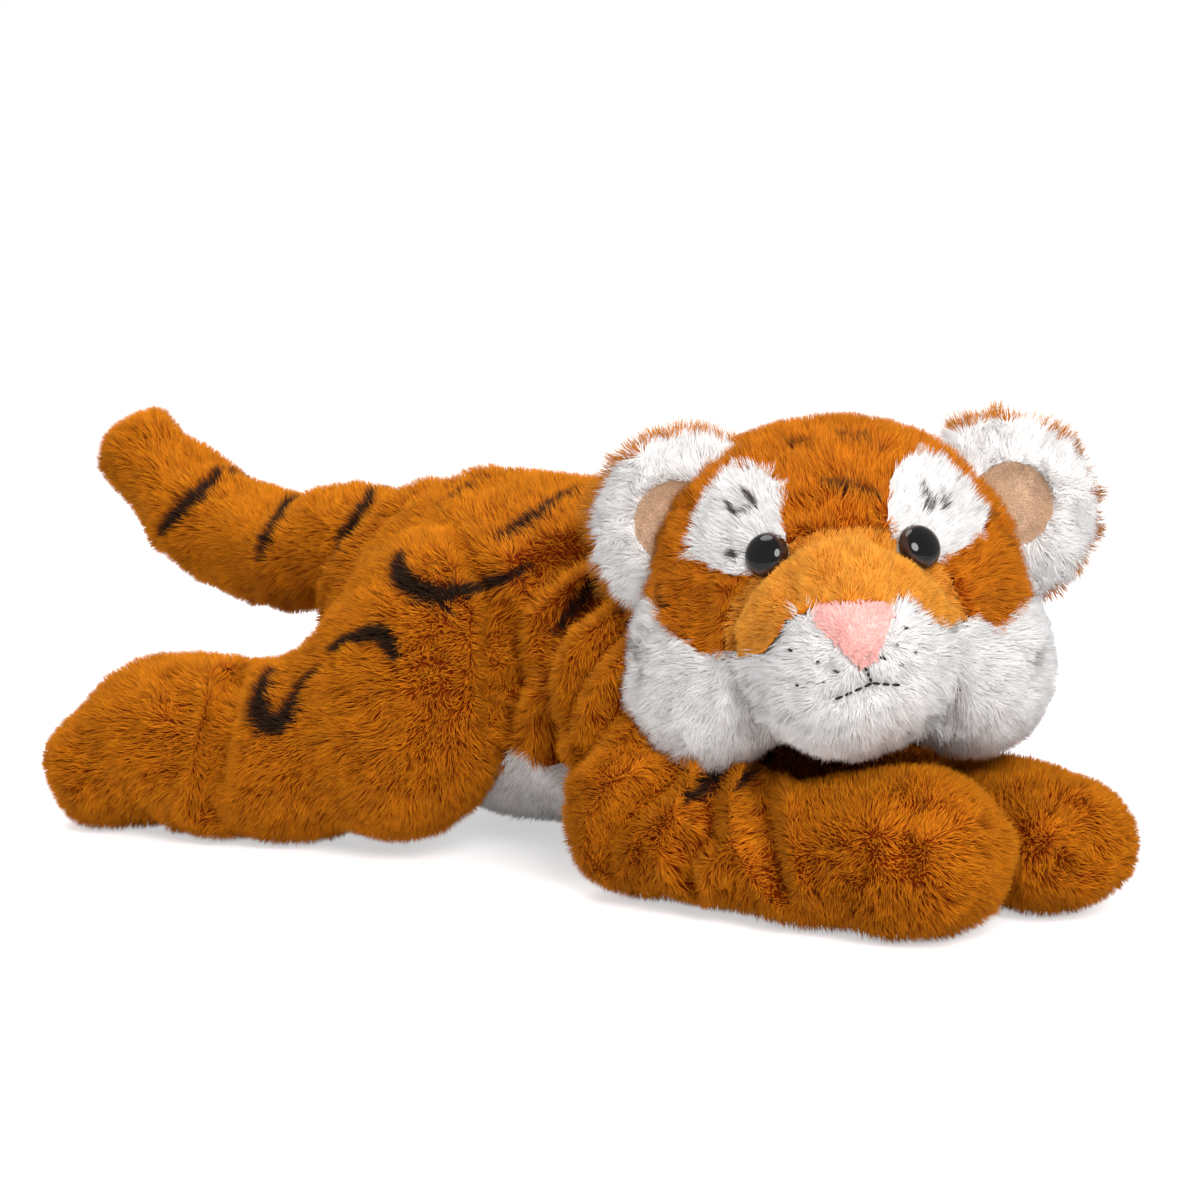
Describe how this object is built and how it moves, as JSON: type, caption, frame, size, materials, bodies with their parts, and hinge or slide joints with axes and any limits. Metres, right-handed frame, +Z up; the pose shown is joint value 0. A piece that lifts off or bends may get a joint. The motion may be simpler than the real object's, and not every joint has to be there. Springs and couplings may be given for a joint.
{
  "type": "plush tiger",
  "caption": "Stuffed toy tiger lying on its belly, forelegs stretched ahead, hind legs behind, tail raised and head turned to its right.",
  "frame": {"origin": "on the ground, under the middle of the whole toy's box", "axes": "+Z up; the body faces -Y; +X is the toy's left"},
  "size_m": [0.2442, 0.4636, 0.1657],
  "materials": {
    "orange_plush": "pile 8 mm",
    "short_plush": "pile 4 mm",
    "white_plush": "pile 9 mm",
    "beige_velour": "velour",
    "pink_velour": "velour",
    "polyester_fibre": "loose fibre",
    "black_thread": "matte",
    "eye_plastic": "polished",
    "washer_plastic": "moulded"
  },
  "bodies": {
    "torso": {"back_skin": "orange_plush", "belly_skin": "white_plush", "torso_stuffing": "polyester_fibre"},
    "neck": {"neck": "white_plush"},
    "head": {"head_skin": "orange_plush", "muzzle_bridge": "short_plush", "snout": "white_plush", "nose": "pink_velour", "head_stuffing": "polyester_fibre", "mouth_thread": "black_thread", "cheek_right": "white_plush", "eye_patch_right": "white_plush", "eye_right": "eye_plastic", "eye_washer_right": "washer_plastic", "whisker_thread_right": "black_thread", "cheek_left": "white_plush", "eye_patch_left": "white_plush", "eye_left": "eye_plastic", "eye_washer_left": "washer_plastic", "whisker_thread_left": "black_thread"},
    "tail_root": {"tail_root_skin": "orange_plush", "tail_root_stuffing": "polyester_fibre"},
    "tail_tip": {"tail_tip_skin": "orange_plush", "tail_tip_stuffing": "polyester_fibre"},
    "ear_right": {"ear_back_right": "orange_plush", "ear_trim_right": "white_plush", "ear_lining_right": "beige_velour"},
    "foreleg_right": {"foreleg_skin_right": "orange_plush", "foreleg_stuffing_right": "polyester_fibre"},
    "paw_right": {"paw_skin_right": "orange_plush", "paw_stuffing_right": "polyester_fibre"},
    "thigh_right": {"thigh_skin_right": "orange_plush", "thigh_stuffing_right": "polyester_fibre"},
    "foot_right": {"foot_skin_right": "orange_plush", "foot_stuffing_right": "polyester_fibre"},
    "ear_left": {"ear_back_left": "orange_plush", "ear_trim_left": "white_plush", "ear_lining_left": "beige_velour"},
    "foreleg_left": {"foreleg_skin_left": "orange_plush", "foreleg_stuffing_left": "polyester_fibre"},
    "paw_left": {"paw_skin_left": "orange_plush", "paw_stuffing_left": "polyester_fibre"},
    "thigh_left": {"thigh_skin_left": "orange_plush", "thigh_stuffing_left": "polyester_fibre"},
    "foot_left": {"foot_skin_left": "orange_plush", "foot_stuffing_left": "polyester_fibre"}
  },
  "joints": [
    {"name": "neck_turn", "type": "hinge", "parent": "torso", "child": "neck", "pos_m": [0, -0.0974, 0.094], "axis": [0, 0, 1], "range_deg": [0, 45], "stiffness_Nm_per_rad": 0.6},
    {"name": "head_nod", "type": "hinge", "parent": "neck", "child": "head", "pos_m": [0, -0.0974, 0.094], "axis": [-0.682, 0.7314, 0], "range_deg": [0, 18], "stiffness_Nm_per_rad": 0.8},
    {"name": "shoulder_right", "type": "hinge", "parent": "torso", "child": "foreleg_right", "pos_m": [-0.043, -0.0774, 0.073], "axis": [0, 0, -1], "range_deg": [0, 20], "stiffness_Nm_per_rad": 0.6},
    {"name": "shoulder_left", "type": "hinge", "parent": "torso", "child": "foreleg_left", "pos_m": [0.043, -0.0774, 0.073], "axis": [0, 0, 1], "range_deg": [0, 20], "stiffness_Nm_per_rad": 0.6},
    {"name": "elbow_right", "type": "hinge", "parent": "foreleg_right", "child": "paw_right", "pos_m": [-0.05, -0.0924, 0.031], "axis": [1, 0, 0], "range_deg": [0, 35], "stiffness_Nm_per_rad": 0.6},
    {"name": "elbow_left", "type": "hinge", "parent": "foreleg_left", "child": "paw_left", "pos_m": [0.05, -0.0924, 0.031], "axis": [1, 0, 0], "range_deg": [0, 35], "stiffness_Nm_per_rad": 0.6},
    {"name": "hip_right", "type": "hinge", "parent": "torso", "child": "thigh_right", "pos_m": [-0.042, 0.0226, 0.07], "axis": [1, 0, 0], "range_deg": [-20, 20], "stiffness_Nm_per_rad": 1.2},
    {"name": "hock_right", "type": "hinge", "parent": "thigh_right", "child": "foot_right", "pos_m": [-0.076, 0.0866, 0.0325], "axis": [1, 0, 0], "range_deg": [-20, 20], "stiffness_Nm_per_rad": 0.5},
    {"name": "hip_left", "type": "hinge", "parent": "torso", "child": "thigh_left", "pos_m": [0.042, 0.0226, 0.07], "axis": [1, 0, 0], "range_deg": [-20, 20], "stiffness_Nm_per_rad": 1.2},
    {"name": "hock_left", "type": "hinge", "parent": "thigh_left", "child": "foot_left", "pos_m": [0.076, 0.0866, 0.0325], "axis": [1, 0, 0], "range_deg": [-20, 20], "stiffness_Nm_per_rad": 0.5},
    {"name": "tail_lift", "type": "hinge", "parent": "torso", "child": "tail_root", "pos_m": [0, 0.0916, 0.099], "axis": [1, 0, 0], "range_deg": [-20, 20], "stiffness_Nm_per_rad": 0.8},
    {"name": "tail_curl", "type": "hinge", "parent": "tail_root", "child": "tail_tip", "pos_m": [0, 0.1486, 0.091], "axis": [0, 0, 1], "range_deg": [-25, 25], "stiffness_Nm_per_rad": 0.3},
    {"name": "ear_right_fold", "type": "hinge", "parent": "head", "child": "ear_right", "pos_m": [-0.04133, -0.1029, 0.12611], "axis": [0.3714, -0.3983, 0.8387], "range_deg": [-15, 15], "stiffness_Nm_per_rad": 0.1},
    {"name": "ear_left_fold", "type": "hinge", "parent": "head", "child": "ear_left", "pos_m": [0.02541, -0.17447, 0.13124], "axis": [-0.4292, 0.4603, 0.7771], "range_deg": [-15, 15], "stiffness_Nm_per_rad": 0.1}
  ]
}
